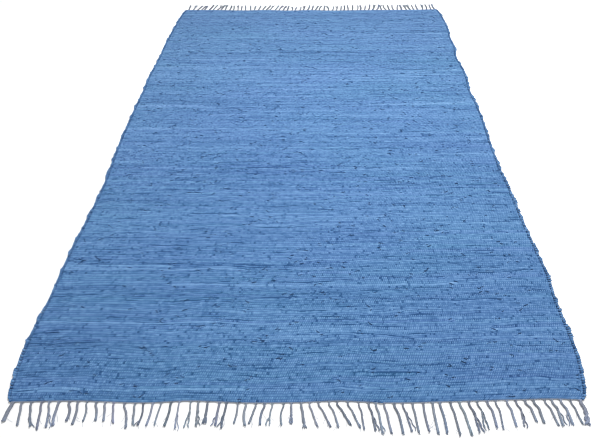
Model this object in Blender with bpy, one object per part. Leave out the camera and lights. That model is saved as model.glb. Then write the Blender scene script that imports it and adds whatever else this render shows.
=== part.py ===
"""Rag rug: a flat hand-woven field with a comb of warp-end tassels at each end.

Metres, +Z up. The rug lies on the plane Z = 0 with its length along Y, and the origin is the middle
of the underside of the woven field.
"""
import random

import bpy

# ---- driving sizes -------------------------------------------------------------------------------
FIELD_LENGTH = 2.300        # woven field, end to end, without the fringe
FIELD_WIDTH = 1.600         # woven field across its straight middle
FIELD_THICKNESS = 0.005     # rag weft beaten over a cotton warp

HEADING_WIDTH = 0.003       # line of warp yarn that the tassels spring from
FRINGE_THICKNESS = 0.004    # a gathered bundle of warp ends, lying flat
TASSEL_PITCH = 0.0251       # mean distance between neighbouring tassels
ROOT_WIDTH = 0.0110         # where the gathered ends spread into the heading
CORNER_INSET = 0.0120       # heading left bare between a corner and its nearest tassel
BUNDLE_WIDTH = 0.0048       # along the bundle
TIP_WIDTH = 0.0056          # cut end, a little frayed
TASSEL_CLEARANCE = 0.0012   # least gap between neighbouring tassels
SHOULDER_SHARE = 0.30       # part of the reach within which a bundle leaves its root sideways
PITCH_JITTER = 0.19         # how far a tassel wanders from its even place, in pitches
LEAN_JITTER = 0.006         # uneven lie of the tips
REACH_JITTER = 0.006        # uneven cutting of the ends

PIECE_GAP = 0.0003          # between the field and each comb
OUTLINE_STEP = 0.030        # spacing of the points along the uneven edges
MM = 0.001

# ---- the uneven edges, in mm ----------------------------------------------------------------------
# How far each long side stands outside the nominal width. along: metres from the middle of the rug.
SIDE_COLUMNS = ("along", "left", "right")
SIDES = (
    (-1.150, -16, -24),
    (-1.100, -5, -10),
    (-1.040, 2, 1),
    (-0.960, 5, 4),
    (-0.850, -1, 1),
    (-0.750, 1, 8),
    (-0.650, 1, 2),
    (-0.520, -6, -5),
    (-0.360, -9, -7),
    (-0.280, -6, -13),
    (-0.100, 6, -13),
    (0.050, 8, -7),
    (0.180, 10, -8),
    (0.300, 8, -15),
    (0.400, 12, -5),
    (0.500, 9, -7),
    (0.600, 4, -18),
    (0.690, 8, -6),
    (0.820, 4, -9),
    (0.930, -1, -2),
    (1.050, -8, -7),
    (1.110, -16, -14),
    (1.150, -24, -23),
)

# How far each end stands inside its nominal line. across: metres from the middle of the rug.
END_COLUMNS = ("across", "near", "far")
ENDS = (
    (-0.780, 0, 4),
    (-0.600, 3, 3),
    (-0.420, -2, 8),
    (-0.290, 3, 3),
    (-0.140, -2, 9),
    (0.000, -1, 4),
    (0.110, 3, 9),
    (0.240, -2, 6),
    (0.400, 1, 3),
    (0.550, 5, 0),
    (0.690, 8, -4),
    (0.780, 5, -8),
)

# ---- the lie of the fringe, in mm -----------------------------------------------------------------
# across: metres from the middle of the rug, shoulder: how far a bundle steps to the right close to
# its root, lean: how far it then runs to the right down to its tip, reach: root to tip.
FRINGE_COLUMNS = ("across", "shoulder", "lean", "reach")
NEAR_FRINGE = (
    (-0.766, -1, -8, 50),
    (-0.740, 3, 8, 52),
    (-0.700, 4, 11, 64),
    (-0.620, 3, 7, 54),
    (-0.540, 2, 8, 50),
    (-0.460, 3, 8, 56),
    (-0.390, 0, -5, 60),
    (-0.320, 2, -3, 63),
    (-0.240, 1, 2, 58),
    (-0.160, 0, 1, 54),
    (-0.060, -2, -6, 49),
    (0.000, 2, 8, 56),
    (0.050, 4, 19, 59),
    (0.120, 5, 22, 63),
    (0.180, 6, 4, 69),
    (0.240, 4, 15, 73),
    (0.300, 3, 10, 71),
    (0.350, -2, 3, 75),
    (0.420, 5, 12, 78),
    (0.480, 7, 7, 73),
    (0.540, 6, -2, 67),
    (0.600, 9, -3, 62),
    (0.650, 9, 3, 62),
    (0.700, 7, 3, 66),
    (0.770, 4, -1, 62),
)
FAR_FRINGE = (
    (-0.770, 0, 6, 62),
    (-0.690, 0, 14, 62),
    (-0.600, 1, 9, 66),
    (-0.480, 2, 1, 64),
    (-0.400, 0, -4, 62),
    (-0.320, 0, 11, 56),
    (-0.200, 0, 15, 62),
    (-0.110, 1, 0, 46),
    (0.000, 0, 14, 58),
    (0.110, 3, 0, 58),
    (0.220, 2, 4, 64),
    (0.320, 4, 0, 66),
    (0.400, 7, 9, 72),
    (0.450, -4, -9, 70),
    (0.540, 0, 2, 68),
    (0.600, -3, -13, 68),
    (0.680, 3, 0, 66),
    (0.770, -2, -4, 62),
)
NEAR_SEED = 61
FAR_SEED = 23

# Stations down a tassel, as shares of its reach, with its width at each.
TASSEL_PROFILE = (
    (0.00, ROOT_WIDTH),
    (0.10, BUNDLE_WIDTH),
    (0.20, BUNDLE_WIDTH),
    (0.32, BUNDLE_WIDTH),
    (0.55, BUNDLE_WIDTH),
    (0.78, BUNDLE_WIDTH),
    (1.00, TIP_WIDTH),
)

# ---- colours ---------------------------------------------------------------------------------------
RAG_BLUE = (0.105, 0.245, 0.490, 1.0)
WARP_GREY = (0.130, 0.170, 0.250, 1.0)
CLOTH_ROUGHNESS = 0.92

LEFT, RIGHT = -1, 1
NEAR, FAR = -1, 1


def clear_scene():
    for old in list(bpy.data.objects):
        bpy.data.objects.remove(old, do_unlink=True)


def cloth_material(name, colour):
    material = bpy.data.materials.new(name)
    material.use_nodes = True
    shader = material.node_tree.nodes["Principled BSDF"]
    shader.inputs["Base Color"].default_value = colour
    shader.inputs["Roughness"].default_value = CLOTH_ROUGHNESS
    shader.inputs["Metallic"].default_value = 0.0
    return material


def read_table(rows, columns, column, place):
    """A column's value at a place along the table's first column, on a smooth curve through its rows."""
    places = [row[0] for row in rows]
    values = [row[columns.index(column)] for row in rows]
    last = len(rows) - 1
    place = min(max(place, places[0]), places[last])
    i = min(sum(1 for p in places if p <= place) - 1, last - 1)
    width = places[i + 1] - places[i]
    share = (place - places[i]) / width

    def slope(row):
        before, after = max(row - 1, 0), min(row + 1, last)
        return (values[after] - values[before]) / (places[after] - places[before]) * width

    square, cube = share ** 2, share ** 3
    return ((2 * cube - 3 * square + 1) * values[i] + (cube - 2 * square + share) * slope(i)
            + (3 * square - 2 * cube) * values[i + 1] + (cube - square) * slope(i + 1))


def ease(share):
    """Smooth step from 0 to 1."""
    share = min(max(share, 0), 1)
    return share * share * (3 - 2 * share)


def side_x(side, along):
    """The field's left or right edge at a distance along the rug."""
    column = "left" if side == LEFT else "right"
    return side * (FIELD_WIDTH / 2 + read_table(SIDES, SIDE_COLUMNS, column, along) * MM)


def end_y(end, across):
    """The field's near or far edge at a distance across the rug."""
    column = "near" if end == NEAR else "far"
    return end * (FIELD_LENGTH / 2 - read_table(ENDS, END_COLUMNS, column, across) * MM)


def corner_x(side, end):
    return side_x(side, end * FIELD_LENGTH / 2)


def places_between(start, stop):
    count = max(2, round(abs(stop - start) / OUTLINE_STEP))
    return [start + (stop - start) * i / count for i in range(count + 1)]


def end_line(end, offset):
    """Points along one end from its left corner to its right, a distance outside the field."""
    across = places_between(corner_x(LEFT, end), corner_x(RIGHT, end))
    return [(x, end_y(end, x) + end * offset) for x in across]


def field_outline():
    """Counter-clockwise outline of the woven field."""
    near_line = end_line(NEAR, 0)
    far_line = end_line(FAR, 0)
    right_side = [(side_x(RIGHT, y), y) for y in places_between(near_line[-1][1], far_line[-1][1])]
    left_side = [(side_x(LEFT, y), y) for y in places_between(far_line[0][1], near_line[0][1])]
    return near_line + right_side[1:-1] + far_line[::-1] + left_side[1:-1]


def tassel_roots(end, source):
    """Root places of the tassels along one end, left to right, unevenly spaced."""
    first = corner_x(LEFT, end) + CORNER_INSET + ROOT_WIDTH / 2
    last = corner_x(RIGHT, end) - CORNER_INSET - ROOT_WIDTH / 2
    count = round((last - first) / TASSEL_PITCH)
    pitch = (last - first) / count
    wander = PITCH_JITTER * pitch
    between = [first + i * pitch + source.uniform(-wander, wander) for i in range(1, count)]
    return [first] + between + [last]


def tassel_routes(end, table, seed):
    """Centre line of every tassel from root to tip, each clear of the one on its left."""
    source = random.Random(seed)
    outside = PIECE_GAP + HEADING_WIDTH
    routes = []
    for root in tassel_roots(end, source):
        shoulder, lean, reach = [read_table(table, FRINGE_COLUMNS, name, root) * MM
                                 for name in FRINGE_COLUMNS[1:]]
        lean += source.uniform(-LEAN_JITTER, LEAN_JITTER)
        reach += source.uniform(-REACH_JITTER, REACH_JITTER)
        start = end_y(end, root) + end * outside
        route = []
        for row, (share, width) in enumerate(TASSEL_PROFILE):
            x = root + shoulder * ease(share / SHOULDER_SHARE) + lean * share
            if routes:
                x = max(x, routes[-1][row][0] + width + TASSEL_CLEARANCE)
            route.append((x, start + end * reach * share))
        routes.append(route)
    return routes


def fringe_outline(end, table, seed):
    """Outline of one comb: back along the heading's inner line, then down and up every tassel."""
    halves = [width / 2 for share, width in TASSEL_PROFILE]
    heading = end_line(end, PIECE_GAP)
    outer_line = end_line(end, PIECE_GAP + HEADING_WIDTH)
    points = heading[::-1] + outer_line[:1]
    for route in tassel_routes(end, table, seed):
        points += [(x - half, y) for (x, y), half in zip(route, halves)]
        points += [(x + half, y) for (x, y), half in zip(route[::-1], halves[::-1])]
    return points + outer_line[-1:]


def flat_piece(name, outline, thickness, material, collection):
    """A flat solid of one outline, lying on Z = 0."""
    curve = bpy.data.curves.new(name, "CURVE")
    curve.dimensions = "2D"
    curve.fill_mode = "BOTH"
    curve.extrude = thickness / 2
    spline = curve.splines.new("POLY")
    spline.points.add(len(outline) - 1)
    for point, (x, y) in zip(spline.points, outline):
        point.co = (x, y, 0, 1)
    spline.use_cyclic_u = True
    curve.materials.append(material)
    piece = bpy.data.objects.new(name, curve)
    piece.location.z = thickness / 2
    collection.objects.link(piece)
    return piece


def build_rug():
    clear_scene()
    rug = bpy.data.collections.new("rag_rug")
    bpy.context.scene.collection.children.link(rug)
    rag = cloth_material("rag_weave", RAG_BLUE)
    warp = cloth_material("warp_yarn", WARP_GREY)
    flat_piece("rug_field", field_outline(), FIELD_THICKNESS, rag, rug)
    flat_piece("fringe_near", fringe_outline(NEAR, NEAR_FRINGE, NEAR_SEED), FRINGE_THICKNESS, warp, rug)
    flat_piece("fringe_far", fringe_outline(FAR, FAR_FRINGE, FAR_SEED), FRINGE_THICKNESS, warp, rug)


build_rug()
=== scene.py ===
"""Looks of the rag rug: rag weft over a cotton warp, rope-like selvedges, loose rag ends and a fringe.

Metres, +Z up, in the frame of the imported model. The rug lies on Z = 0 with its length along Y.
"""
import math
import random

import bpy
import numpy as np
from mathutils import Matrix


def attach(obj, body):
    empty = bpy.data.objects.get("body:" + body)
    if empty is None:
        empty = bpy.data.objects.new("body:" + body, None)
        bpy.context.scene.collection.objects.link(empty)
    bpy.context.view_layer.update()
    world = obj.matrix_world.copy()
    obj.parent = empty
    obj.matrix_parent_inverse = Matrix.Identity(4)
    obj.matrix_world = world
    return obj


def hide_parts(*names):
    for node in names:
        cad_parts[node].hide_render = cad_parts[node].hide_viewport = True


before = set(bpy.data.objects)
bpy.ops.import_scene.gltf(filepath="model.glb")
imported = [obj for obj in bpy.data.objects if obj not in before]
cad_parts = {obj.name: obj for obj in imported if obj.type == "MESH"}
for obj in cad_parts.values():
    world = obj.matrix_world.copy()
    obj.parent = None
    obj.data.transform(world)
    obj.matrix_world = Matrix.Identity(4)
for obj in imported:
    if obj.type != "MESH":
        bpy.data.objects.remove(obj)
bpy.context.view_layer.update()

MM = 0.001
LEFT, RIGHT = -1, 1
NEAR, FAR = -1, 1
SHEET_WIDTH, SHEET_LENGTH = 1.60, 2.30

# ---- the weave ----
ROWS = 328                    # passes of rag weft, end to end
WARPS = 500                   # crossings of weft and warp, side to side
PASS = SHEET_LENGTH / ROWS    # one pass of weft along the rug
BANDS = 4                     # lengths that the top of the field is made in, so each mesh stays light
PASS_UNEVEN = 0.14            # how much thicker or thinner one pass is than the next, in passes
RAG_UNEVEN = 0.12             # the same from one rag to the next
WRINKLE = 0.13                # the same along a rag
JOIN_SWELL = 0.40             # where two rags overlap
PALE_TONE = 1.5               # rags drawn above this tone are clearly paler
JOIN_REACH = 3.5              # half length of such an overlap, in crossings
WANDER = 0.07                 # how far the passes wander off their straight line, in passes
STRAIGHTEN = 6                # passes over which the weaver beats the line straight again
RAG_SHORT, RAG_LONG = 0.08, 0.60   # lengths of a rag, in passes across the rug

GROUND_COLUMNS = 24           # the underside is made coarser
GROUND_TOP = 2.0 * MM         # hidden level inside the cloth
GROOVE = 3.1 * MM             # between two passes
CREST = 4.4 * MM              # along a pass
CROSSING = 0.92 * MM          # rise over a warp, and dip under the next
PINCHES = 5200                # short hollows where a rag is creased, darkened by painted shade
LONGEST_PINCH = 2             # in crossings
EDGE_CLEAR = 3                # crossings at each side that have no pinch
EDGE_DIP = 0.7 * MM           # how far a pass goes down next to the selvedge
EDGE_PAINTED_SHADE = 0.22             # how much painted shade may darken it there
UNDER_CREST = 0.2 * MM        # the underside's passes, just clear of the floor
UNDER_GROOVE = 1.3 * MM
RAG_SEED = 7
WEAVE_SEED = 11
SELVEDGE_SEEDS = {LEFT: 12, RIGHT: 14}
ENDS_SEED = 20

# Random layers that make the weave uneven. A spread says how far a layer is blurred, in rows and crossings.
WRINKLE_SPREAD = (0.4, 7)
PASS_LIMITS = (0.45, 1.9)     # thinnest and thickest a pass may be, in passes
WANDER_SPREADS = ((3, 12), (7, 40))
HELD_ROWS = 5                 # rows over which the wander dies out towards each end
LUMP_SPREAD = (0, 0.5)        # from one crossing to the next
KINK_SPREAD = (0, 1.6)        # bends in a rag
STRETCH_SPREAD = (0, 8)       # fuller and flatter stretches of a rag
TIGHT_SPREAD = (0.35, 28)     # how tightly the weft is drawn over the warps
TIGHT_UNEVEN, TIGHT_LUMPS = 0.75, 0.4
TIGHT_LIMITS = (0.1, 2.4)
GAP_SPREADS = ((0, 5), (0, 18))    # openings between two passes
GAP_UNEVEN = 0.7
GAP_FROM, GAP_MOST = 0.8, 2   # unevenness at which a groove opens, and the widest it opens
GAP_DEPTH = 0.45 * MM         # how much deeper it then is, for each unit of opening
GAP_PAINTED_SHADE = 0.85               # and how much painted shade darkens it
CREST_SHIFT = 0.10            # how far a crest leaves the middle of its pass, in passes
SIDEWAYS = 0.18               # how far a crossing leaves its place, in crossings
FADED_SPREAD = (1.5, 60)      # worn streaks
CLOUD_SPREAD = (7, 130)       # wide clouds of lighter and darker cloth
TINT_SPREAD = (9, 40)
CORNER_SHADE_REACH = (0.18, 0.35)     # reach of the painted shade that darkens the rug towards the near left corner, along and across
HEIGHTS = {                   # what each layer adds to the height of a crest, in mm
    "row": 0.1275,
    "bulk": 0.102,
    "stretch": 0.1275,
    "kink": 0.119,
    "join": 0.5,
    "pinch": -0.6,
}
SHADES = {                    # what each layer adds to the shade of a rag
    "tone": 0.045,
    "faded": 0.015,
    "cloud": 0.015,
    # painted shade: darker towards the near left corner, where the light falls off
    "deep": -0.07,
    "lump": 0.065,
    "proud": 0.05,            # for each mm that a row stands above the rows next to it: painted light and wear there, painted shade where it lies lower
    "kink": 0.035,
    "pale": 0.09,
    # painted shade in the creased hollows
    "pinch": -0.26,
}
MIDDLE_SHADE = 0.555          # shade of a plain rag, where 0 is the darkest blue and 1 the palest
MOST_RISE = 1.3               # rise is 0 in the groove and 1 on a plain crest over a warp; the material paints shade where it is low and light where it is high
UNDER_RISE = 0.8              # the same on the crests of the underside
NEUTRAL_HUE = 0.5
RAG_HUE, CLOUD_HUE = 0.0018, 0.0016    # how far the hue strays from rag to rag and from place to place
NO_JOIN = 9.0                 # stands for a place that is far from every join

# ---- selvedges, rag ends, heading ----
LOOP_INSET = 1.9 * MM         # centre of a selvedge loop's turn, inside the edge
LOOP_RADIUS = 1.9 * MM
LOOP_THICK = 1.5 * MM         # half thickness of the turned rag
LOOP_SIDES = 5
LOOP_TURN = (90, 45, 0, -45, -90)      # degrees, from the top of the turn to its underside
LOOP_START = 9.0 * MM         # where the turned rag comes up out of the cloth, inside the edge
LOOP_ON_TOP = 6.0 * MM        # where it has come up on top
LOOP_ABOVE = 0.2 * MM         # how far above the crests it then lies
LOOP_LEVEL = 2.9 * MM         # middle of the turn above the floor
LOOP_SLANT = (-0.35, 0.65)    # how far it runs along the edge, from start to end, in passes
LOOP_OUTERMOST = 0.625        # share of the rag's way at which a bulge is full
LOOP_RISE = (0.1, 0.8)        # rise at the ends of the rag's way, and what its top adds: painted shade where it goes into the cloth, painted light on its top
LOOP_SUNK = 0.8               # share of its way at which the rise is back at its least
LOOP_WIDTHS = (0.95, 0.12)    # mean and spread of its width, in passes
LOOP_WIDTH_LIMITS = (0.7, 1.25)
LOOP_SHADES = (0.38, 0.14)    # mean and spread of its shade
LOOP_UNEVEN, LOOP_LUMPS = 0.5, 0.9     # how far turns stick out or in, in mm: each by itself, and in runs
LOOP_RUN = 1.5                # length of such a run, in rows
LOOP_BACK = 0.8               # mm that all turns stand back
FAT_LOOPS = 0.17              # share of the turns that stick out more
FAT_BULGE = (2.0, 5.5)        # how far they do, in mm
FAT_SHARING = (0.4, 1.0, 0.4)          # how much of that a fat turn and its neighbours get
BULGE_LIMITS = (-2.0, 5.0)    # in mm
BULGE_LIFT = (-0.3 * MM, 0.6 * MM)     # lowest and highest that a bulge moves the turn up
END_SHARE = 0.70              # share of the rag ends that show, two at each join
END_STRAY = 4                 # most crossings between a join and its end
END_CLEAR = 6                 # crossings at each side that have no rag end
END_RINGS, END_SIDES = 7, 5
END_ROUND = 0.6               # a power: the less it is, the rounder the arch
END_FULLNESS = (0.45, 0.55)   # share of the thickness that it has anyway, and what its swell adds
END_CAPS = 0.1                # where along the swell the two ends lie
END_RISE = (0.5, 0.8)         # rise at its start and at its tip: painted shade where it leaves the cloth, a little painted light at its tip
ENDS = {                      # the ranges that rag ends are drawn from, with lengths in mm
    "length": (5, 17),
    "arch": (0.62, 1.0),      # share of an arch that it makes: at 1 its tip is back on the cloth
    "slant": (-0.35, 0.35),   # radians off the line of the row
    "curl": (-0.6, 0.6),      # radians that it turns along its length
    "rise": (1.4, 4.0),       # top of the arch above the grooves
    "wide": (0.8, 1.4),       # half width
    "thick": (0.9, 1.9),      # half thickness
    # dark: painted shade of the end and of the shadow it casts
    "shade": (0.02, 0.36),
}
CORNER_REACH = 14.0 * MM      # the last stretch of a selvedge, which draws in round the corner
CORNER_DRAW_IN = 9.0 * MM
TWINE_RADIUS = 0.6 * MM       # one of the two yarns twined along each end
TWINE_LAY = 7.0 * MM          # length of one turn of the twining
TWINE_STEP = 1.9 * MM         # between two rings of a yarn's tube
TWINE_SIDES = 4
TWINE_INSET = 7.0 * MM        # from the corner to the start of the twining
TWINE_LEVEL = 3.0 * MM        # middle of the twining above the floor
TWINE_LIFT = 0.7 * MM         # from there to the middle of a yarn, upwards
TWINE_SWAY = 0.5 * MM         # and along the rug
TWINE_SHADE = 0.45

# ---- the fringe, as in the solid combs ----
PIECE_GAP = 0.3 * MM
HEADING_WIDTH = 3.0 * MM
TASSEL_PITCH = 25.1 * MM
ROOT_WIDTH = 11.0 * MM
CORNER_INSET = 12.0 * MM
BUNDLE_WIDTH = 4.8 * MM
TIP_WIDTH = 5.6 * MM
TASSEL_WIDTHS = ((0, ROOT_WIDTH), (0.10, BUNDLE_WIDTH), (0.78, BUNDLE_WIDTH), (1, TIP_WIDTH))
TASSEL_CLEARANCE = 1.2 * MM
SHOULDER_SHARE = 0.30
PITCH_JITTER = 0.19
LEAN_JITTER = 6 * MM
REACH_JITTER = 6 * MM
# across: metres from the middle of the rug. In mm, shoulder: how far a bundle steps to the right close
# to its root, lean: how far it then runs to the right down to its tip, reach: root to tip.
FRINGE_COLUMNS = ("across", "shoulder", "lean", "reach")
NEAR_FRINGE = (
    (-0.766, -1, -8, 50),
    (-0.740, 3, 8, 52),
    (-0.700, 4, 11, 64),
    (-0.620, 3, 7, 54),
    (-0.540, 2, 8, 50),
    (-0.460, 3, 8, 56),
    (-0.390, 0, -5, 60),
    (-0.320, 2, -3, 63),
    (-0.240, 1, 2, 58),
    (-0.160, 0, 1, 54),
    (-0.060, -2, -6, 49),
    (0.000, 2, 8, 56),
    (0.050, 4, 19, 59),
    (0.120, 5, 22, 63),
    (0.180, 6, 4, 69),
    (0.240, 4, 15, 73),
    (0.300, 3, 10, 71),
    (0.350, -2, 3, 75),
    (0.420, 5, 12, 78),
    (0.480, 7, 7, 73),
    (0.540, 6, -2, 67),
    (0.600, 9, -3, 62),
    (0.650, 9, 3, 62),
    (0.700, 7, 3, 66),
    (0.770, 4, -1, 62),
)
FAR_FRINGE = (
    (-0.770, 0, 6, 62),
    (-0.690, 0, 14, 62),
    (-0.600, 1, 9, 66),
    (-0.480, 2, 1, 64),
    (-0.400, 0, -4, 62),
    (-0.320, 0, 11, 56),
    (-0.200, 0, 15, 62),
    (-0.110, 1, 0, 46),
    (0.000, 0, 14, 58),
    (0.110, 3, 0, 58),
    (0.220, 2, 4, 64),
    (0.320, 4, 0, 66),
    (0.400, 7, 9, 72),
    (0.450, -4, -9, 70),
    (0.540, 0, 2, 68),
    (0.600, -3, -13, 68),
    (0.680, 3, 0, 66),
    (0.770, -2, -4, 62),
)
NEAR_SEED = 61
FAR_SEED = 23

STRANDS = 6                   # yarns in a bundle
STRAND_RADIUS = 1.25 * MM
TWIST_RADIUS = 1.75 * MM      # from a bundle's middle to the middle of its yarns
FLATTENED = 0.6               # height of the twist over its width
FRAY = 0.9 * MM               # how much further apart the yarns end
FRAY_FROM = 0.85              # share of the length at which they start to part
STRAND_SPREAD = 14 * MM       # the stretch of the heading that one bundle gathers
ARCH_REACH = 6.5 * MM         # how far out the gathered yarns meet
GATHER_TURN = (0, 25, 50, 72)     # degrees of the sweep by which a yarn joins its bundle
GATHER_REACH = 0.95           # how much of the way out to the bundle that sweep takes
BUNDLE_LEVEL = 2.45 * MM      # middle of a bundle above the floor
HEADING_LEVEL = 2.9 * MM      # the same of a yarn where it leaves the heading
YARN_START = 1.0 * MM         # that place, beyond the end of the field
TIP_TAPER = 0.55              # thickness of a yarn at its tip, as a share
TAPER_FROM = 0.9              # share of the length at which it starts to taper
ROOT_TAPER = 0.65             # thickness of a yarn before it has joined its bundle
ROOT_BLUE = (1.0, 0.3)        # how much bluer a yarn is where it leaves the heading, and next to the bundle

# Each tassel's own ways: an even draw from a range, or a normal draw with a spread. Lengths are in mm.
BULKS = (0.78, 1.22)          # thickness of the bundle
TURNS = (2.0, 3.4)            # turns of its twist, from root to tip
SPLIT_SHARE = 0.42            # share of the tassels that fall apart in two towards the tip
SPLIT_FROM = (0.0, 0.55)      # share of the length at which that starts
SPLIT_BY = (5, 11)            # how far apart the two then are at the tip
LOOSE_STRANDS = (1, 3)        # fewest and most yarns that go their own way
BOW_SPREAD = 1.6              # how far it bows to one side
STRAY_SPREAD = 2.6            # how far its tip strays
STRAY_POWER = 1.5             # a power: the more it is, the nearer to the tip the straying stays
TONE_SPREAD, STRAND_TONE_SPREAD = 0.10, 0.08     # from bundle to bundle, and from yarn to yarn
BLUE_SPREAD = 0.18
HUE_SPREAD = 0.011
STRETCHES = (-0.07, 0.03)     # how much longer than its bundle a yarn is

WISPS = 3                     # stray fibres on a tassel
WISP_RADIUS = 0.25 * MM
WISP_POINTS, WISP_SIDES = 7, 3
WISP_FROM = (0.3, 0.85)       # share of the tassel's length at which one leaves it
WISP_LENGTHS = (8, 24)        # in mm, as are the next three
WISP_STRAY_SPREAD = 6.5       # how far its tip strays to one side
WISP_BOW_SPREAD = 1.5
WISP_LEVELS = (2.2, 1.0)      # above the floor, at its start and at its tip
WISP_POWER = 1.6              # as STRAY_POWER
WISP_PALER = 0.2
# One row an end. rings and sides: of a yarn's tube. stout: thickness of the bundles, corner: of the two at
# the corners. tone: how pale they are, lower at the far end as painted shade, blue: how blue at the root.
FRINGE_LOOKS = {
    NEAR: {"rings": 16, "sides": 5, "stout": 1.00, "corner": 1.85, "tone": 0.54, "blue": -0.32},
    FAR: {"rings": 13, "sides": 4, "stout": 1.48, "corner": 1.60, "tone": 0.38, "blue": -0.50},
}


# ---- random fields ----
def soft_noise(source, shape, spread):
    """Random field blurred over a spread of cells along each axis, with mean 0 and deviation 1."""
    spectrum = np.fft.rfft2(source.standard_normal(shape))
    down = np.fft.fftfreq(shape[0])[:, None]
    across = np.fft.rfftfreq(shape[1])[None, :]
    spectrum *= np.exp(-2 * np.pi ** 2 * ((down * spread[0]) ** 2 + (across * spread[1]) ** 2))
    field = np.fft.irfft2(spectrum, shape)
    return (field - field.mean()) / field.std()


def blur_rows(field, spread):
    """Running mean down the rows, with the ends held."""
    reach = int(3 * spread)
    weights = np.exp(-0.5 * (np.arange(-reach, reach + 1) / spread) ** 2)
    padded = np.pad(field, ((reach, reach), (0, 0)), mode="edge")
    total = sum(w * padded[i:i + len(field)] for i, w in enumerate(weights))
    return total / weights.sum()


# ---- the outline, read from the CAD field ----
NEARLY = 0.1 * MM
END_BOW = 20 * MM             # more than an end bows
OUTLINE = np.array([vertex.co[:2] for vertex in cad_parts["rug_field"].data.vertices])
CORNERS = {(side, end): OUTLINE[np.argmax(OUTLINE @ np.array((side, end)))]
           for side in (LEFT, RIGHT) for end in (NEAR, FAR)}


def read_edge(chosen, along):
    """A function that gives the edge's place on the other axis, at places along it."""
    places, first = np.unique(np.round(OUTLINE[chosen, along], 6), return_index=True)
    offsets = OUTLINE[chosen, 1 - along][first]
    return lambda place: np.interp(place, places, offsets)


def on_side(side):
    """The outline's points on one long side, its corners included."""
    ends = [CORNERS[side, end] for end in (NEAR, FAR)]
    innermost = min(abs(x) for x, y in ends)
    between = (OUTLINE[:, 1] >= ends[0][1] - NEARLY) & (OUTLINE[:, 1] <= ends[1][1] + NEARLY)
    return between & (OUTLINE[:, 0] * side >= innermost - NEARLY)


def on_end(end):
    """The outline's points on one end, its corners included."""
    nearest = min(abs(CORNERS[side, end][1]) for side in (LEFT, RIGHT))
    return OUTLINE[:, 1] * end >= nearest - END_BOW


side_x = {side: read_edge(on_side(side), 1) for side in (LEFT, RIGHT)}
end_y = {end: read_edge(on_end(end), 0) for end in (NEAR, FAR)}


# ---- weaving ----
FIELD_GRID = (ROWS, WARPS + 1)       # a value at every crossing
LINE_GRID = (ROWS + 1, WARPS + 1)    # a value on every line between two rows
MAP_MARGIN = 0.004


def lay_rags():
    """Rag after rag, back and forth through the rows: tone, bulk and tint at crossings, and the joins."""
    source = np.random.default_rng(RAG_SEED)
    total = ROWS * (WARPS + 1)
    fields = np.zeros((3, total))
    joins = []
    start = 0
    while start < total:
        length = int(source.uniform(RAG_SHORT, RAG_LONG) * WARPS)
        fields[:, start:start + length] = source.standard_normal((3, 1))
        start += length
        if start < total:
            row, place = divmod(start, WARPS + 1)
            joins.append((row, place if row % 2 == 0 else WARPS - place))
    fields = fields.reshape(3, ROWS, -1)
    fields[:, 1::2] = fields[:, 1::2, ::-1]
    return *fields, joins


def mark_joins(joins):
    """At every crossing, the signed distance to the row's nearest join, in reaches, and the swell there."""
    distance = np.full(FIELD_GRID, NO_JOIN)
    crossings = np.arange(WARPS + 1)
    for row, place in joins:
        here = (crossings - place) / JOIN_REACH
        closer = abs(here) < abs(distance[row])
        distance[row, closer] = here[closer]
    return distance, np.exp(-distance ** 2)


def row_lines(bulk, swell, source):
    """Places of the lines between the rows, as shares of the rug's length, at every crossing."""
    width = 1 + PASS_UNEVEN * source.standard_normal((ROWS, 1)) + RAG_UNEVEN * bulk
    width = width + WRINKLE * soft_noise(source, FIELD_GRID, WRINKLE_SPREAD) + JOIN_SWELL * swell
    width = np.clip(width, *PASS_LIMITS)
    lines = np.vstack([np.zeros((1, WARPS + 1)), np.cumsum(width - width.mean(0), axis=0)])
    lines -= blur_rows(lines, STRAIGHTEN)
    for spread in WANDER_SPREADS:
        lines += WANDER * soft_noise(source, LINE_GRID, spread)
    numbers = np.arange(ROWS + 1)[:, None]
    hold = np.clip(np.minimum(numbers, ROWS - numbers) / HELD_ROWS, 0, 1)
    return (numbers + hold * lines) / ROWS


def place_on_rug(across, along):
    """Plan position of shares across and along the rug, inside its uneven outline."""
    near_x = CORNERS[LEFT, NEAR][0] + across * (CORNERS[RIGHT, NEAR][0] - CORNERS[LEFT, NEAR][0])
    far_x = CORNERS[LEFT, FAR][0] + across * (CORNERS[RIGHT, FAR][0] - CORNERS[LEFT, FAR][0])
    y_near, y_far = end_y[NEAR](near_x), end_y[FAR](far_x)
    y = y_near + along * (y_far - y_near)
    from_end = np.minimum(y - y_near, y_far - y)
    draw_in = CORNER_DRAW_IN * np.clip(1 - from_end / CORNER_REACH, 0, 1) ** 2
    left, right = side_x[LEFT](y) + draw_in, side_x[RIGHT](y) - draw_in
    return left + across * (right - left), y


def mark_pinches(source):
    """1 where a rag is creased, 0 elsewhere."""
    field = np.zeros(FIELD_GRID)
    rows = source.integers(0, ROWS, PINCHES)
    places = source.integers(EDGE_CLEAR, WARPS - EDGE_CLEAR, PINCHES)
    for row, place in zip(rows, places):
        field[row, place:place + source.integers(1, LONGEST_PINCH + 1)] = 1
    return field


def weighted(amounts, **layers):
    """Sum of the layers, each times its amount."""
    return sum(amounts[name] * layer for name, layer in layers.items())


def proud_of_rows(height):
    """How far each row stands above the two next to it."""
    above, below = np.roll(height, 1, axis=0), np.roll(height, -1, axis=0)
    return height - (above + below) / 2


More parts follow.
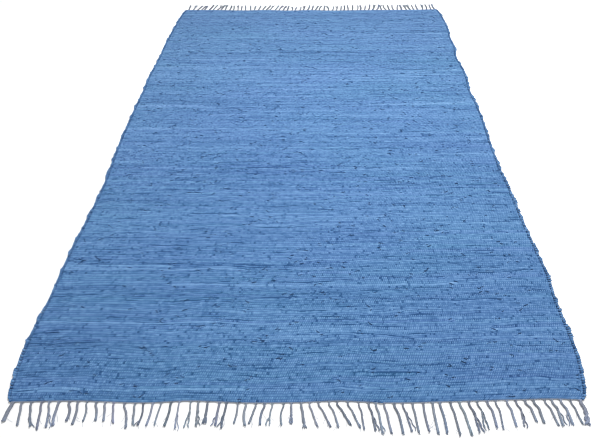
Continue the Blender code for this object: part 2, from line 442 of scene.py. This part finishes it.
class Weave:
    """All that the meshes of the field share: its lines, heights and shades, at every crossing."""

    def __init__(self):
        source = np.random.default_rng(WEAVE_SEED)
        tone, bulk, tint, self.joins = lay_rags()
        self.distance, swell = mark_joins(self.joins)
        self.lines = row_lines(bulk, swell, source)
        lumps = soft_noise(source, FIELD_GRID, LUMP_SPREAD)
        kinks = soft_noise(source, FIELD_GRID, KINK_SPREAD)
        stretch = soft_noise(source, FIELD_GRID, STRETCH_SPREAD)
        row_height = source.standard_normal((ROWS, 1))
        pinches = mark_pinches(source)
        height = weighted(HEIGHTS, row=row_height, bulk=bulk, stretch=stretch, kink=kinks, join=swell,
                          pinch=pinches)
        tightness = 1 + TIGHT_UNEVEN * soft_noise(source, FIELD_GRID, TIGHT_SPREAD) + TIGHT_LUMPS * lumps
        rows, crossings = np.indices(FIELD_GRID)
        over = 1 - 2 * ((rows + crossings) % 2)
        self.crest = CREST + height * MM + over * CROSSING * np.clip(tightness, *TIGHT_LIMITS)
        gaps = sum(GAP_UNEVEN * soft_noise(source, LINE_GRID, spread) for spread in GAP_SPREADS)
        self.gap = np.clip(gaps - GAP_FROM, 0, GAP_MOST)
        self.groove = GROOVE - GAP_DEPTH * self.gap
        self.crest_shift = CREST_SHIFT * source.standard_normal(FIELD_GRID)
        self.sideways = SIDEWAYS * source.standard_normal(FIELD_GRID) / WARPS
        faded = soft_noise(source, FIELD_GRID, FADED_SPREAD)
        cloud = soft_noise(source, FIELD_GRID, CLOUD_SPREAD)
        # painted shade, darker towards the near left corner
        deep = np.exp(-(rows / ROWS / CORNER_SHADE_REACH[0]) ** 2 - (crossings / WARPS / CORNER_SHADE_REACH[1]) ** 2)
        self.shade = MIDDLE_SHADE + weighted(
            SHADES, tone=tone, faded=faded, cloud=cloud, deep=deep, lump=lumps,
            proud=proud_of_rows(height), kink=kinks, pale=tone > PALE_TONE, pinch=pinches)
        # painted shade in the dip where the passes go under the selvedge
        self.shade[:, [2, 3, -4, -3]] -= source.uniform(0.0, EDGE_PAINTED_SHADE, (ROWS, 1))
        self.tint = NEUTRAL_HUE + RAG_HUE * tint + CLOUD_HUE * soft_noise(source, FIELD_GRID, TINT_SPREAD)


def grid_faces(lines, columns):
    """Faces with four corners, for points that stand in lines and columns."""
    corner = np.arange(lines * columns).reshape(lines, columns)
    return np.stack([corner[:-1, :-1], corner[:-1, 1:], corner[1:, 1:], corner[1:, :-1]], -1).reshape(-1, 4)


def new_piece(name, points, faces, material):
    """A mesh object of the rug, with its material."""
    mesh = bpy.data.meshes.new(name)
    mesh.from_pydata(points, [], faces)
    mesh.shade_smooth()
    mesh.materials.append(material)
    piece = bpy.data.objects.new(name, mesh)
    bpy.context.scene.collection.objects.link(piece)
    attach(piece, "root")
    return piece


def set_values(piece, name, values, domain):
    """A number for each point or face corner, which the material reads by name."""
    attribute = piece.data.attributes.new(name, "FLOAT", domain)
    attribute.data.foreach_set("value", np.asarray(values, np.float32).ravel())


def set_map(piece, across, along):
    """The bake's map: the piece spread over the whole square, but for a margin."""
    loops = np.zeros(len(piece.data.loops), np.int32)
    piece.data.loops.foreach_get("vertex_index", loops)
    layer = piece.data.uv_layers.new(name="OFBake")
    pairs = np.stack([across.ravel()[loops], along.ravel()[loops]], -1)
    pairs = MAP_MARGIN + (1 - 2 * MAP_MARGIN) * pairs
    layer.data.foreach_set("uv", pairs.astype(np.float32).ravel())


def on_corners(lower, upper):
    """Corner values of every face, from the values on the lines below and above it."""
    return np.stack([lower[:, :-1], lower[:, 1:], upper[:, 1:], upper[:, :-1]], -1)


def make_band(weave, number, material):
    """One length of the field's top: a line in each groove and one along each crest."""
    rows = range(number * ROWS // BANDS, (number + 1) * ROWS // BANDS)
    first, last = rows[0], rows[-1] + 1
    count = len(rows)
    shape = (2 * count + 1, WARPS + 1)
    across = np.broadcast_to(np.linspace(0, 1, WARPS + 1), shape).copy()
    along, height = np.zeros(shape), np.zeros(shape)
    along[0::2] = weave.lines[first:last + 1]
    height[0::2] = weave.groove[first:last + 1]
    below, above = weave.lines[first:last], weave.lines[first + 1:last + 1]
    along[1::2] = (below + above) / 2 + weave.crest_shift[first:last] * (above - below)
    height[1::2] = weave.crest[first:last]
    across[1::2] += weave.sideways[first:last]
    across = np.clip(across, 0, 1)
    height[:, [0, -1]] = GROUND_TOP
    height[:, [1, 2, -3, -2]] -= EDGE_DIP
    if first == 0:
        height[0] = GROUND_TOP
    if last == ROWS:
        height[-1] = GROUND_TOP
    x, y = place_on_rug(across, along)
    points = np.stack([x, y, height], -1).reshape(-1, 3)
    piece = new_piece(f"weft_{number + 1}", points, grid_faces(*shape), material)
    for name, field in (("shade", weave.shade), ("tint", weave.tint), ("join", weave.distance)):
        doubled = np.repeat(field[first:last], 2, axis=0)
        set_values(piece, name, on_corners(doubled, doubled), "CORNER")
    halves = np.tile([[0.0], [0.5]], (count, WARPS + 1))
    set_values(piece, "side", on_corners(halves, halves + 0.5), "CORNER")
    # rise: painted shade in the grooves and open gaps, painted light on the crests
    rise = np.zeros(shape)
    rise[0::2] = -GAP_PAINTED_SHADE * weave.gap[first:last + 1]
    rise[1::2] = np.clip((height[1::2] - GROOVE) / (CREST + CROSSING - GROOVE), 0, MOST_RISE)
    set_values(piece, "rise", rise, "POINT")
    set_map(piece, across, (along - along.min()) / (along.max() - along.min()))
    return piece


def make_ground(weave, material):
    """The closed sheet under the top: the underside's passes, the edges and a hidden flat top."""
    columns = np.linspace(0, WARPS, GROUND_COLUMNS + 1).round().astype(int)
    shape = (2 * ROWS + 1, GROUND_COLUMNS + 1)
    along, height = np.zeros(shape), np.zeros(shape)
    along[0::2] = weave.lines[:, columns]
    along[1::2] = (weave.lines[:-1, columns] + weave.lines[1:, columns]) / 2
    height[0::2] = UNDER_GROOVE
    height[1::2] = UNDER_CREST
    height[[0, -1]] = GROUND_TOP
    height[:, [0, -1]] = GROUND_TOP
    across = np.broadcast_to(columns / WARPS, shape)
    x, y = place_on_rug(across, along)
    points = np.stack([x, y, height], -1).reshape(-1, 3)
    faces = grid_faces(*shape)[:, ::-1].tolist()
    corner = np.arange(shape[0] * shape[1]).reshape(shape)
    rim = [*corner[0, :-1], *corner[:-1, -1], *corner[-1, :0:-1], *corner[:0:-1, 0]]
    faces.append([int(v) for v in rim])
    piece = new_piece("rug_ground", points.tolist(), faces, material)
    shade = np.repeat(weave.shade[:, columns], 2, axis=0)
    set_values(piece, "shade", np.vstack([shade, shade[-1:]]), "POINT")
    rise = np.zeros(shape)
    rise[1::2] = UNDER_RISE
    set_values(piece, "rise", rise, "POINT")
    set_values(piece, "join", np.full(shape, NO_JOIN), "POINT")
    set_values(piece, "tint", np.full(shape, NEUTRAL_HUE), "POINT")
    set_map(piece, across, along)
    return piece


# ---- tubes of rag and yarn ----
class Heap:
    """Many small closed tubes that become one mesh, with named values at each point."""

    def __init__(self):
        self.points, self.faces, self.values = [], [], {}
        self.count = 0

    def add_tubes(self, centres, wide, thick, sides, across=None, **values):
        """Tubes along rows of centre points. wide is half the width along across, or level without it."""
        tubes, rings = centres.shape[:2]
        run = np.gradient(centres, axis=1)
        run /= np.linalg.norm(run, axis=-1, keepdims=True)
        across = np.cross((0.0, 0.0, 1.0), run) if across is None else np.broadcast_to(across, run.shape)
        across = across - run * (across * run).sum(-1, keepdims=True)
        across = across / np.linalg.norm(across, axis=-1, keepdims=True)
        up = np.cross(run, across)
        turn = np.arange(sides) * 2 * np.pi / sides
        wide = np.broadcast_to(wide, (tubes, rings))[..., None, None] * np.cos(turn)[:, None]
        thick = np.broadcast_to(thick, (tubes, rings))[..., None, None] * np.sin(turn)[:, None]
        points = centres[:, :, None] + across[:, :, None] * wide + up[:, :, None] * thick
        index = self.count + np.arange(tubes * rings * sides).reshape(tubes, rings, sides)
        low, high = index[:, :-1], index[:, 1:]
        walls = np.stack([low, np.roll(low, -1, 2), np.roll(high, -1, 2), high], -1)
        self.faces += walls.reshape(-1, 4).tolist()
        self.faces += index[:, 0, ::-1].tolist() + index[:, -1].tolist()
        self.points.append(points.reshape(-1, 3))
        self.count += points.size // 3
        for name, value in values.items():
            spread = np.broadcast_to(np.asarray(value, float)[..., None], (tubes, rings, sides))
            self.values.setdefault(name, []).append(spread.ravel())

    def to_piece(self, name, material):
        """One mesh of all the tubes, pressed flat where they rest on the floor."""
        points = np.concatenate(self.points)
        points[:, 2] = np.maximum(points[:, 2], 0)
        piece = new_piece(name, points.tolist(), self.faces, material)
        for key, parts in self.values.items():
            set_values(piece, key, np.concatenate(parts), "POINT")
        return piece


def loop_bulges(source):
    """How far each row's turn sticks out beyond the edge."""
    fat = (source.random(ROWS) < FAT_LOOPS) * source.uniform(*FAT_BULGE, ROWS)
    fat = np.convolve(fat, FAT_SHARING, mode="same")
    lumps = soft_noise(source, (ROWS, 3), (LOOP_RUN, 0))[:, 0]
    bulge = LOOP_UNEVEN * source.standard_normal(ROWS) + LOOP_LUMPS * lumps + fat - LOOP_BACK
    return bulge.clip(*BULGE_LIMITS)[:, None] * MM


def make_selvedge(weave, side, material):
    """The weft's turns at one long side: each pass comes up, rounds the outermost warp and goes under."""
    source = np.random.default_rng(SELVEDGE_SEEDS[side])
    column = 0 if side == LEFT else -1
    middles = (weave.lines[:-1, column] + weave.lines[1:, column]) / 2
    edge, y = place_on_rug(0.0 if side == LEFT else 1.0, middles)
    bulge = loop_bulges(source)
    turn = np.radians(LOOP_TURN)
    inset = np.r_[LOOP_START, LOOP_ON_TOP, LOOP_INSET - LOOP_RADIUS * np.cos(turn)]
    level = np.r_[GROOVE, CREST + LOOP_ABOVE, LOOP_LEVEL + LOOP_RADIUS * np.sin(turn)]
    share = np.linspace(0, 1, len(inset))
    outwards = bulge * np.sin(np.pi / 2 * share / LOOP_OUTERMOST)
    centres = np.zeros((ROWS, len(inset), 3))
    centres[..., 0] = edge[:, None] + side * (outwards - inset)
    centres[..., 1] = y[:, None] + np.linspace(*LOOP_SLANT, len(inset)) * PASS
    centres[..., 2] = level + np.clip(bulge, *BULGE_LIFT) * np.sin(np.pi * share)
    widths = np.clip(source.normal(*LOOP_WIDTHS, ROWS), *LOOP_WIDTH_LIMITS)
    shade = LOOP_SHADES[0] + source.normal(0, LOOP_SHADES[1], (ROWS, 1))
    rise = LOOP_RISE[0] + LOOP_RISE[1] * np.sin(np.pi * np.clip(share / LOOP_SUNK, 0, 1))
    heap = Heap()
    heap.add_tubes(centres, PASS / 2 * widths[:, None], LOOP_THICK, LOOP_SIDES, across=(0.0, 1.0, 0.0),
                   shade=shade, rise=rise[None], join=[[NO_JOIN]], tint=[[NEUTRAL_HUE]])
    return heap.to_piece("selvedge_left" if side == LEFT else "selvedge_right", material)


def make_rag_ends(weave, material):
    """Ends of rag that stick out of the cloth where one rag follows another, darkened with painted shade.
    """
    source = np.random.default_rng(ENDS_SEED)
    joins = np.array([join for join in weave.joins if END_CLEAR < join[1] < WARPS - END_CLEAR] * 2)
    joins = joins[source.random(len(joins)) < END_SHARE]
    count = len(joins)
    rows, places = joins[:, 0], joins[:, 1]
    places = places + source.integers(-END_STRAY, END_STRAY + 1, count)
    x, y = place_on_rug(places / WARPS, weave.lines[rows + source.integers(0, 2, count), places])
    share = np.linspace(0, 1, END_RINGS)

    def drawn(name):
        """A value for each end, ready to be spread along it."""
        return source.uniform(*ENDS[name], (count, 1))

    length = drawn("length") * MM
    hump = np.sin(np.pi * drawn("arch") * share) ** END_ROUND
    heading = drawn("slant") + np.pi * source.integers(0, 2, (count, 1)) + drawn("curl") * share
    centres = np.zeros((count, END_RINGS, 3))
    centres[..., 0] = x[:, None] + length * share * np.cos(heading)
    centres[..., 1] = y[:, None] + length * share * np.sin(heading)
    centres[..., 2] = GROOVE + drawn("rise") * hump * MM
    swell = np.sin(np.pi * np.linspace(END_CAPS, 1 - END_CAPS, END_RINGS))
    fullness = (END_FULLNESS[0] + END_FULLNESS[1] * swell) * MM
    rise = np.linspace(*END_RISE, END_RINGS)
    heap = Heap()
    heap.add_tubes(centres, drawn("wide") * fullness, drawn("thick") * fullness, END_SIDES,
                   shade=drawn("shade"), rise=rise[None], join=[[NO_JOIN]], tint=[[NEUTRAL_HUE]])
    return heap.to_piece("rag_ends", material)


# ---- the fringe ----
def read_table(rows, column, place):
    """A column's value at a place along the rug's end, on a smooth curve through the table's rows."""
    places = [row[0] for row in rows]
    values = [row[FRINGE_COLUMNS.index(column)] for row in rows]
    last = len(rows) - 1
    place = min(max(place, places[0]), places[last])
    i = min(sum(1 for p in places if p <= place) - 1, last - 1)
    width = places[i + 1] - places[i]
    share = (place - places[i]) / width

    def slope(row):
        before, after = max(row - 1, 0), min(row + 1, last)
        return (values[after] - values[before]) / (places[after] - places[before]) * width

    square, cube = share ** 2, share ** 3
    return ((2 * cube - 3 * square + 1) * values[i] + (cube - 2 * square + share) * slope(i)
            + (3 * square - 2 * cube) * values[i + 1] + (cube - square) * slope(i + 1))


def ease(share):
    """From 0 to 1 with a soft start and a soft end."""
    share = np.clip(share, 0, 1)
    return share * share * (3 - 2 * share)


def tassel_roots(end, source):
    """Places across the rug where the tassels of one end are rooted."""
    first = CORNERS[LEFT, end][0] + CORNER_INSET + ROOT_WIDTH / 2
    last = CORNERS[RIGHT, end][0] - CORNER_INSET - ROOT_WIDTH / 2
    count = round((last - first) / TASSEL_PITCH)
    pitch = (last - first) / count
    wander = PITCH_JITTER * pitch
    between = [first + i * pitch + source.uniform(-wander, wander) for i in range(1, count)]
    return [first] + between + [last]


def tassel_routes(end, table, seed, shares):
    """Centre line of every tassel, at shares of its way from root to tip, clear of the one on its left."""
    source = random.Random(seed)
    places, widths = zip(*TASSEL_WIDTHS)
    room = np.interp(shares, places, widths)
    routes = []
    for root in tassel_roots(end, source):
        shoulder, lean, reach = [read_table(table, name, root) * MM for name in FRINGE_COLUMNS[1:]]
        lean += source.uniform(-LEAN_JITTER, LEAN_JITTER)
        reach += source.uniform(-REACH_JITTER, REACH_JITTER)
        x = root + shoulder * ease(shares / SHOULDER_SHARE) + lean * shares
        if routes:
            x = np.maximum(x, routes[-1][:, 0] + room + TASSEL_CLEARANCE)
        y = end_y[end](root) + end * (PIECE_GAP + HEADING_WIDTH + reach * shares)
        routes.append(np.stack([x, y], -1))
    return np.array(routes)


class Tassels:
    """The tassels of one end: their routes, and how each is twisted, split and coloured."""

    def __init__(self, end, table, seed):
        looks = FRINGE_LOOKS[end]
        self.end = end
        self.source = np.random.default_rng(seed)
        self.shares = np.linspace(0, 1, looks["rings"])
        self.routes = tassel_routes(end, table, seed, self.shares)
        self.count = len(self.routes)
        self.bulk = looks["stout"] * self.drawn(*BULKS)
        self.bulk[[0, -1]] = looks["corner"]
        self.turns = self.drawn(*TURNS)
        self.phase = self.drawn(0, 2 * np.pi)
        self.split_from = self.drawn(*SPLIT_FROM)
        split = self.source.choice([LEFT, RIGHT], (self.count, 1)) * (self.drawn(0, 1) < SPLIT_SHARE)
        self.split_by = split * self.drawn(*SPLIT_BY) * MM
        fewest, most = LOOSE_STRANDS
        self.loose_strands = self.source.integers(fewest, most + 1, (self.count, 1))
        self.bow = self.bell(0, BOW_SPREAD) * MM
        self.stray = self.bell(0, STRAY_SPREAD) * MM
        self.tone = self.bell(looks["tone"], TONE_SPREAD)
        self.blue = self.bell(looks["blue"], BLUE_SPREAD)
        self.tint = self.bell(NEUTRAL_HUE, HUE_SPREAD)

    def drawn(self, low, high):
        """An even draw for each tassel."""
        return self.source.uniform(low, high, (self.count, 1))

    def bell(self, middle, spread):
        """A normal draw for each tassel."""
        return self.source.normal(middle, spread, (self.count, 1))

    def strand(self, number, thick):
        """Centre lines of one yarn of every tassel, from the heading to the tip."""
        shares = self.shares
        angle = self.phase + 2 * np.pi * (number / STRANDS + self.turns * shares)
        radius = self.bulk * (TWIST_RADIUS + FRAY * ease((shares - FRAY_FROM) / (1 - FRAY_FROM)))
        apart = ease((shares - self.split_from) / (1 - self.split_from))
        aside = radius * np.cos(angle) + self.bow * np.sin(np.pi * shares)
        aside = aside + self.stray * shares ** STRAY_POWER
        aside = aside + (number < self.loose_strands) * self.split_by * apart
        stretch = 1 + self.drawn(*STRETCHES)
        start = self.routes[:, :1, 1]
        along = start + (self.routes[..., 1] - start) * stretch
        line = np.zeros((self.count, len(shares), 3))
        line[..., 0] = self.routes[..., 0] + aside
        line[..., 1] = along + self.end * ARCH_REACH * (1 - shares)
        line[..., 2] = np.maximum(BUNDLE_LEVEL + FLATTENED * radius * np.sin(angle), thick)
        return np.concatenate([self.gathered(number, line[:, :1], start), line], axis=1)

    def gathered(self, number, first, start):
        """The yarn's first stretch, which sweeps out of the heading into the bundle."""
        sweep = np.radians(GATHER_TURN)
        root = self.routes[:, :1, 0] + (number - (STRANDS - 1) / 2) / STRANDS * STRAND_SPREAD
        head = start - self.end * (PIECE_GAP + HEADING_WIDTH - YARN_START)
        path = np.zeros((self.count, len(sweep), 3))
        path[..., 0] = root + (first[..., 0] - root) * np.sin(sweep)
        path[..., 1] = head + (first[..., 1] - head) * (1 - np.cos(sweep)) * GATHER_REACH
        path[..., 2] = HEADING_LEVEL + (first[..., 2] - HEADING_LEVEL) * np.sin(sweep)
        return path

    def wisp(self, from_share):
        """Centre lines of one stray fibre on every tassel."""
        share = np.linspace(0, 1, WISP_POINTS)
        picked = np.array([[np.interp(place, self.shares, route[:, axis]) for axis in (0, 1)]
                           for place, route in zip(from_share[:, 0], self.routes)])
        path = np.zeros((self.count, WISP_POINTS, 3))
        path[..., 0] = picked[:, :1] + self.bell(0, WISP_STRAY_SPREAD) * MM * share ** WISP_POWER
        path[..., 0] += self.bell(0, WISP_BOW_SPREAD) * MM * np.sin(np.pi * share)
        path[..., 1] = picked[:, 1:] + self.end * self.drawn(*WISP_LENGTHS) * MM * share
        path[..., 2] = np.linspace(*WISP_LEVELS, WISP_POINTS) * MM
        return path


def make_fringe(end, table, seed, material):
    """Bundles of twisted warp yarn, gathered from the heading, with a few split ends and stray fibres."""
    tassels = Tassels(end, table, seed)
    shares = tassels.shares
    taper = STRAND_RADIUS * np.interp(shares, [0, TAPER_FROM, 1], [1, 1, TIP_TAPER])
    rooted = len(GATHER_TURN)
    thick = tassels.bulk * np.r_[np.full(rooted, ROOT_TAPER * STRAND_RADIUS), taper]
    blue = np.clip(tassels.blue + np.r_[np.linspace(*ROOT_BLUE, rooted), shares], 0, 1)
    heap = Heap()
    for number in range(STRANDS):
        centres = tassels.strand(number, tassels.bulk * taper)
        shade = tassels.tone + tassels.bell(0, STRAND_TONE_SPREAD)
        heap.add_tubes(centres, thick, thick, FRINGE_LOOKS[end]["sides"],
                       shade=shade, along=blue, tint=tassels.tint)
    for _ in range(WISPS):
        from_share = tassels.drawn(*WISP_FROM)
        heap.add_tubes(tassels.wisp(from_share), WISP_RADIUS, WISP_RADIUS, WISP_SIDES,
                       shade=tassels.tone + WISP_PALER, along=from_share, tint=tassels.tint)
    return heap.to_piece("tassels_near" if end == NEAR else "tassels_far", material)


def make_heading(end, material):
    """Two grey-blue yarns twined along one end of the field."""
    left, right = CORNERS[LEFT, end][0], CORNERS[RIGHT, end][0]
    rings = int((right - left) / TWINE_STEP)
    x = np.linspace(left + TWINE_INSET, right - TWINE_INSET, rings)
    angle = 2 * np.pi * (x - x[0]) / TWINE_LAY
    heap = Heap()
    for half in (0, np.pi):
        centres = np.zeros((1, rings, 3))
        centres[..., 0] = x
        centres[..., 1] = end_y[end](x) + end * TWINE_SWAY * (1 + np.cos(angle + half))
        centres[..., 2] = TWINE_LEVEL + TWINE_LIFT * np.sin(angle + half)
        heap.add_tubes(centres, TWINE_RADIUS, TWINE_RADIUS, TWINE_SIDES,
                       shade=[[TWINE_SHADE]], along=[[1.0]], tint=[[NEUTRAL_HUE]])
    return heap.to_piece("heading_near" if end == NEAR else "heading_far", material)


# ---- materials ----
DULL = 0.15                   # specular level of all the cotton
PLAIN_RISE = 0.7              # rise at which a rag has its own shade; below it the colour takes painted shade, above it painted light
SEAM_WIDTH = 0.16             # half width of the dark line between two rags, in passes
SEAM_DARK = 0.4               # how much darker the middle of that line is
RAG_BLUES = (                 # shade and colour
    (0.00, (0.022, 0.081, 0.209)),
    (0.30, (0.067, 0.170, 0.366)),
    (0.55, (0.120, 0.253, 0.481)),
    (0.80, (0.167, 0.327, 0.577)),
    (1.00, (0.217, 0.391, 0.650)),
)
YARN_ROOT = ((0.0, (0.088, 0.105, 0.142)), (1.0, (0.325, 0.358, 0.425)))
YARN_TIP = ((0.0, (0.112, 0.156, 0.248)), (1.0, (0.362, 0.455, 0.598)))


class Nodes:
    """Short hand for building one material's nodes."""

    def __init__(self, name):
        self.material = bpy.data.materials.new(name)
        self.material.use_nodes = True
        self.tree = self.material.node_tree
        self.shader = self.tree.nodes["Principled BSDF"]

    def add(self, kind, settings=None, **inputs):
        """A node of one kind. A space in an input's name is written as an underscore."""
        node = self.tree.nodes.new("ShaderNode" + kind)
        for key, value in (settings or {}).items():
            setattr(node, key, value)
        for key, value in inputs.items():
            self.put(node.inputs[key.replace("_", " ")], value)
        return node

    def put(self, socket, value):
        """Links a socket to another one, or sets it to a plain value."""
        if isinstance(value, bpy.types.NodeSocket):
            self.tree.links.new(value, socket)
        else:
            socket.default_value = value

    def math(self, operation, first, second=0.0, third=0.0):
        node = self.add("Math", {"operation": operation})
        for socket, value in zip(node.inputs, (first, second, third)):
            self.put(socket, value)
        return node.outputs[0]

    def value(self, name):
        """One of the numbers that set_values gave the piece."""
        return self.add("Attribute", {"attribute_name": name}).outputs["Fac"]

    def plus(self, value, layer, amount, middle=0.5):
        """value, and what a layer that lies round a middle adds to it or takes away."""
        return self.math("MULTIPLY_ADD", self.math("SUBTRACT", layer, middle), amount, value)

    def stretched_noise(self, scale, detail=3.0, roughness=0.55):
        """Noise over the object, with its own scale along each axis, in cells a metre."""
        place = self.add("TexCoord").outputs["Object"]
        mapping = self.add("Mapping", Vector=place, Scale=scale)
        noise = self.add("TexNoise", Vector=mapping.outputs[0], Scale=1.0,
                         Detail=detail, Roughness=roughness)
        return noise.outputs["Fac"]

    def ramp(self, fac, stops):
        """A colour between stops, each with its place and its colour."""
        node = self.add("ValToRGB", Fac=fac)
        elements = node.color_ramp.elements
        while len(elements) < len(stops):
            elements.new(0.5)
        for element, (place, colour) in zip(elements, stops):
            element.position = place
            element.color = (*colour, 1)
        return node.outputs["Color"]

    def cloth(self, colour, relief, roughness, sheen, sheen_roughness, strength, depth):
        """Sets the shader to dull cloth with a little sheen, and relief by bump."""
        tinted = self.add("HueSaturation", Hue=self.value("tint"), Color=colour)
        bump = self.add("Bump", Height=relief, Strength=strength, Distance=depth)
        self.put(self.shader.inputs["Base Color"], tinted.outputs[0])
        self.put(self.shader.inputs["Normal"], bump.outputs[0])
        self.shader.inputs["Roughness"].default_value = roughness
        self.shader.inputs["Specular IOR Level"].default_value = DULL
        self.shader.inputs["Sheen Weight"].default_value = sheen
        self.shader.inputs["Sheen Roughness"].default_value = sheen_roughness
        return self.material


def rag_material():
    """Faded blue cotton rag: each rag has its own tone, painted shade in the grooves and painted light on
    the crests, streaked along its folds.
    """
    nodes = Nodes("rag_weft")
    streak = nodes.stretched_noise((24, 420, 420), detail=4)
    fibre = nodes.stretched_noise((260, 1500, 1500))
    folds = nodes.stretched_noise((60, 900, 900))
    shade = nodes.plus(nodes.value("shade"), streak, 0.30)
    shade = nodes.plus(shade, fibre, 0.20)
    # painted shade where rise is low, painted light where it is high
    shade = nodes.plus(shade, nodes.value("rise"), 0.38, middle=PLAIN_RISE)
    across = nodes.math("MULTIPLY_ADD", nodes.value("join"), 0.5, 0.5)
    miss = nodes.math("ABSOLUTE", nodes.math("SUBTRACT", nodes.value("side"), across))
    seam = nodes.math("MAXIMUM", nodes.math("SUBTRACT", SEAM_WIDTH, miss), 0.0)
    shade = nodes.math("MULTIPLY_ADD", seam, -SEAM_DARK / SEAM_WIDTH, shade)
    relief = nodes.math("MULTIPLY_ADD", fibre, 0.4, folds)
    return nodes.cloth(nodes.ramp(shade, RAG_BLUES), relief, roughness=0.93, sheen=0.19,
                       sheen_roughness=0.5, strength=0.6, depth=0.8 * MM)


def warp_material():
    """Cotton warp yarn: grey where along is 0, and grey-blue where it is 1, as at the cut ends."""
    nodes = Nodes("warp_yarn")
    fibre = nodes.stretched_noise((900, 900, 900))
    shade = nodes.plus(nodes.value("shade"), fibre, 0.7)
    mix = nodes.add("Mix", {"data_type": "RGBA"})
    first, second = [socket for socket in mix.inputs if socket.type == "RGBA"]
    nodes.put(mix.inputs["Factor"], nodes.value("along"))
    nodes.put(first, nodes.ramp(shade, YARN_ROOT))
    nodes.put(second, nodes.ramp(shade, YARN_TIP))
    colour = next(socket for socket in mix.outputs if socket.type == "RGBA")
    return nodes.cloth(colour, fibre, roughness=0.9, sheen=0.1,
                       sheen_roughness=0.6, strength=0.5, depth=0.3 * MM)


# ---- camera, floor and light ----
CAMERA_PLACE = (0.063, -1.479, 1.181)
CAMERA_DOWN = 50.75           # degrees below level
SENSOR_WIDTH = 36             # in mm
LENS = 25.03                  # in mm
LENS_SHIFT = -0.0365
WORLD_LIGHT = 0.52
FLOOR_SIZE = 30
FLOOR_LEVEL = -0.4 * MM       # just under the rug, so that no two faces lie in one plane


def make_camera():
    """The camera, which looks down along the rug from its near end."""
    data = bpy.data.cameras.new("camera")
    data.sensor_width = SENSOR_WIDTH
    data.lens = LENS
    data.shift_x = LENS_SHIFT
    camera = bpy.data.objects.new("camera", data)
    camera.location = CAMERA_PLACE
    camera.rotation_euler = (math.radians(90 - CAMERA_DOWN), 0, 0)
    bpy.context.scene.collection.objects.link(camera)
    bpy.context.scene.camera = camera


def area_light(name, place, aim, size, power):
    """A square light that faces a point."""
    data = bpy.data.lights.new(name, "AREA")
    data.shape = "RECTANGLE"
    data.size = data.size_y = size
    data.energy = power
    light = bpy.data.objects.new(name, data)
    light.location = place
    direction = np.array(aim) - np.array(place)
    flat = math.hypot(direction[0], direction[1])
    light.rotation_euler = (math.atan2(flat, -direction[2]), 0, math.atan2(-direction[0], direction[1]))
    bpy.context.scene.collection.objects.link(light)


def make_lights():
    """A white world, a light high up behind the rug on its right, and a small one over its middle."""
    world = bpy.data.worlds.new("studio")
    world.use_nodes = True
    background = world.node_tree.nodes["Background"]
    background.inputs["Color"].default_value = (1, 1, 1, 1)
    background.inputs["Strength"].default_value = WORLD_LIGHT
    bpy.context.scene.world = world
    area_light("window_side", place=(3.0, 4.6, 9.0), aim=(0, 0, 0), size=3.0, power=680)
    area_light("overhead", place=(0.25, 0.20, 2.0), aim=(0.25, 0.20, 0), size=0.7, power=21)
    bpy.context.scene.view_settings.view_transform = "Standard"
    bpy.context.scene.cycles.filter_width = 1.0


def make_floor():
    """A plain pale floor, with its middle behind the rug."""
    bpy.ops.mesh.primitive_plane_add(size=FLOOR_SIZE, location=(0, 1.5, FLOOR_LEVEL))
    floor = bpy.context.object
    floor.name = "floor"
    material = bpy.data.materials.new("pale_floor")
    material.use_nodes = True
    shader = material.node_tree.nodes["Principled BSDF"]
    shader.inputs["Base Color"].default_value = (0.95, 0.95, 0.95, 1)
    shader.inputs["Roughness"].default_value = 0.9
    shader.inputs["Specular IOR Level"].default_value = 0.1
    floor.data.materials.append(material)


make_camera()
make_lights()
make_floor()

weave = Weave()
rag = rag_material()
warp = warp_material()
bands = [make_band(weave, number, rag) for number in range(BANDS)]
ground = make_ground(weave, rag)
selvedges = [make_selvedge(weave, side, rag) for side in (LEFT, RIGHT)]
rag_ends = make_rag_ends(weave, rag)
fringe_near = make_fringe(NEAR, NEAR_FRINGE, NEAR_SEED, warp)
fringe_far = make_fringe(FAR, FAR_FRINGE, FAR_SEED, warp)
headings = [make_heading(end, warp) for end in (NEAR, FAR)]
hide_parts("rug_field")
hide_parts("fringe_near")
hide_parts("fringe_far")
